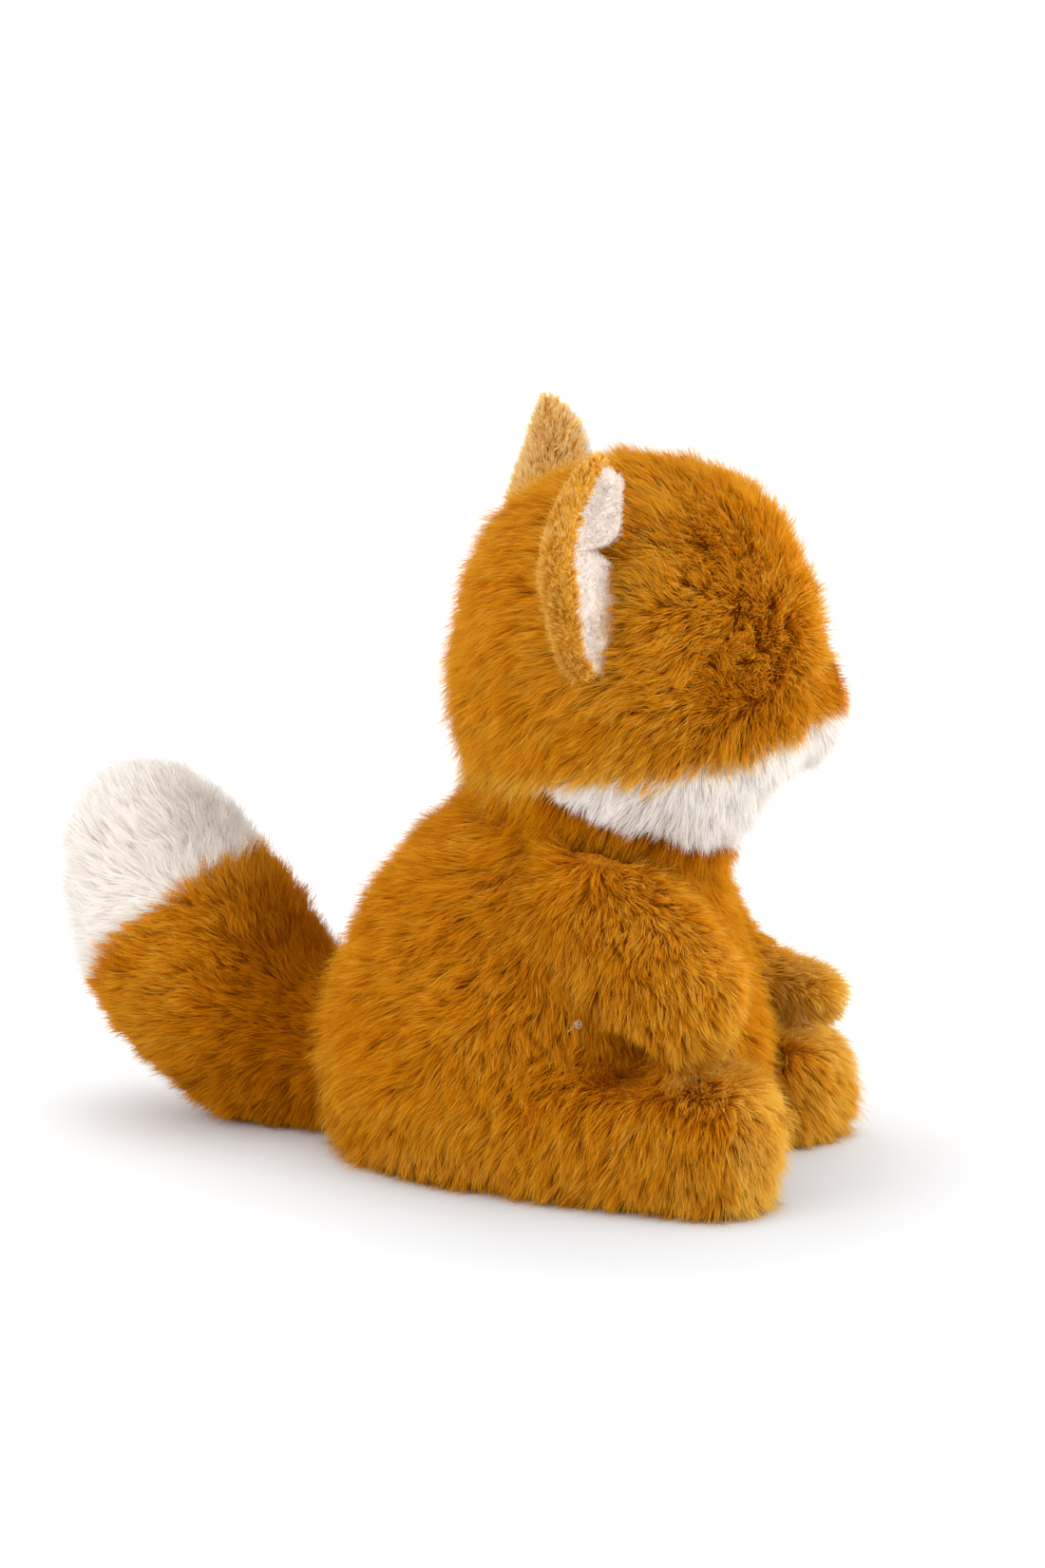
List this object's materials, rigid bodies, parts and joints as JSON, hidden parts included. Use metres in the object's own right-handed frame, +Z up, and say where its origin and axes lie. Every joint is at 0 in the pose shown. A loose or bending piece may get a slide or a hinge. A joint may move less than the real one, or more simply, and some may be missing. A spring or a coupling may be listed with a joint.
{
  "type": "plush fox",
  "caption": "Sitting long-pile plush fox with turned head, upright lined ears, forward legs and a raised white-tipped tail; limbs, ears, neck and tail bend at their seams.",
  "frame": {"origin": "on the floor under the middle of the seat panel, on its flat underside", "axes": "+Z up, -Y the way the body and legs point, +Y towards the tail, +X the fox's left; the head is turned 30 degrees from -Y towards +X"},
  "size_m": [0.1523, 0.2557, 0.2356],
  "materials": {
    "orange_pile": "long soft pile",
    "orange_short_pile": "short soft pile",
    "white_pile": "long soft pile",
    "ear_lining": "very short smooth pile",
    "fibre_fill": "loose fibre",
    "pellet_cloth": "plain woven cloth",
    "thread": "twisted thread",
    "eye_plastic": "polished",
    "nose_plastic": "satin",
    "washer_plastic": "moulded"
  },
  "bodies": {
    "torso": {"seat_panel": "orange_pile", "torso_cover_right": "orange_pile", "torso_cover_left": "orange_pile", "torso_front_panel": "orange_pile", "torso_stuffing": "fibre_fill", "pellet_bag": "pellet_cloth", "neck_thread": "thread", "closing_knot": "thread"},
    "head": {"head_cover_right": "orange_pile", "head_cover_left": "orange_pile", "cheek_ruff_right": "white_pile", "cheek_ruff_left": "white_pile", "muzzle_top": "orange_pile", "muzzle_chin": "white_pile", "head_stuffing": "fibre_fill", "nose": "nose_plastic", "eye_right": "eye_plastic", "eye_left": "eye_plastic", "eye_washer_right": "washer_plastic", "eye_washer_left": "washer_plastic"},
    "ear_right": {"ear_back_right": "orange_short_pile", "ear_lining_right": "ear_lining"},
    "ear_left": {"ear_back_left": "orange_short_pile", "ear_lining_left": "ear_lining"},
    "arm_right": {"arm_cover_right": "orange_pile", "arm_stuffing_right": "fibre_fill"},
    "arm_left": {"arm_cover_left": "orange_pile", "arm_stuffing_left": "fibre_fill"},
    "leg_right": {"leg_cover_right": "orange_pile", "leg_stuffing_right": "fibre_fill"},
    "leg_left": {"leg_cover_left": "orange_pile", "leg_stuffing_left": "fibre_fill"},
    "tail": {"tail_cover": "orange_pile", "tail_tip": "white_pile", "tail_stuffing": "fibre_fill"}
  },
  "joints": [
    {"name": "neck_turn", "type": "hinge", "parent": "torso", "child": "head", "pos_m": [0, -0.014, 0.1075], "axis": [0, -0.165, 0.9863], "range_deg": [-45, 15], "stiffness_Nm_per_rad": 0.3},
    {"name": "ear_fold_right", "type": "hinge", "parent": "head", "child": "ear_right", "pos_m": [-0.05457, -0.0373, 0.18285], "axis": [0.2801, -0.2481, 0.9273], "range_deg": [-8, 12], "stiffness_Nm_per_rad": 0.02},
    {"name": "ear_fold_left", "type": "hinge", "parent": "head", "child": "ear_left", "pos_m": [0.03441, 0.01408, 0.19004], "axis": [0.036, 0.4306, -0.9018], "range_deg": [-8, 12], "stiffness_Nm_per_rad": 0.02},
    {"name": "shoulder_right", "type": "hinge", "parent": "torso", "child": "arm_right", "pos_m": [-0.044, -0.018, 0.092], "axis": [-0.9404, 0, -0.3401], "range_deg": [0, 22], "stiffness_Nm_per_rad": 0.1},
    {"name": "shoulder_left", "type": "hinge", "parent": "torso", "child": "arm_left", "pos_m": [0.044, -0.018, 0.09], "axis": [-0.9404, 0, 0.3401], "range_deg": [0, 22], "stiffness_Nm_per_rad": 0.1},
    {"name": "hip_right", "type": "hinge", "parent": "torso", "child": "leg_right", "pos_m": [-0.046, -0.004, 0.022], "axis": [0, 0, -1], "range_deg": [-4, 24], "stiffness_Nm_per_rad": 0.15},
    {"name": "hip_left", "type": "hinge", "parent": "torso", "child": "leg_left", "pos_m": [0.046, -0.004, 0.019], "axis": [0, 0, 1], "range_deg": [-4, 24], "stiffness_Nm_per_rad": 0.15},
    {"name": "tail_lift", "type": "hinge", "parent": "torso", "child": "tail", "pos_m": [0, 0.07, 0.045], "axis": [1, 0, 0], "range_deg": [0, 20], "stiffness_Nm_per_rad": 0.3}
  ]
}
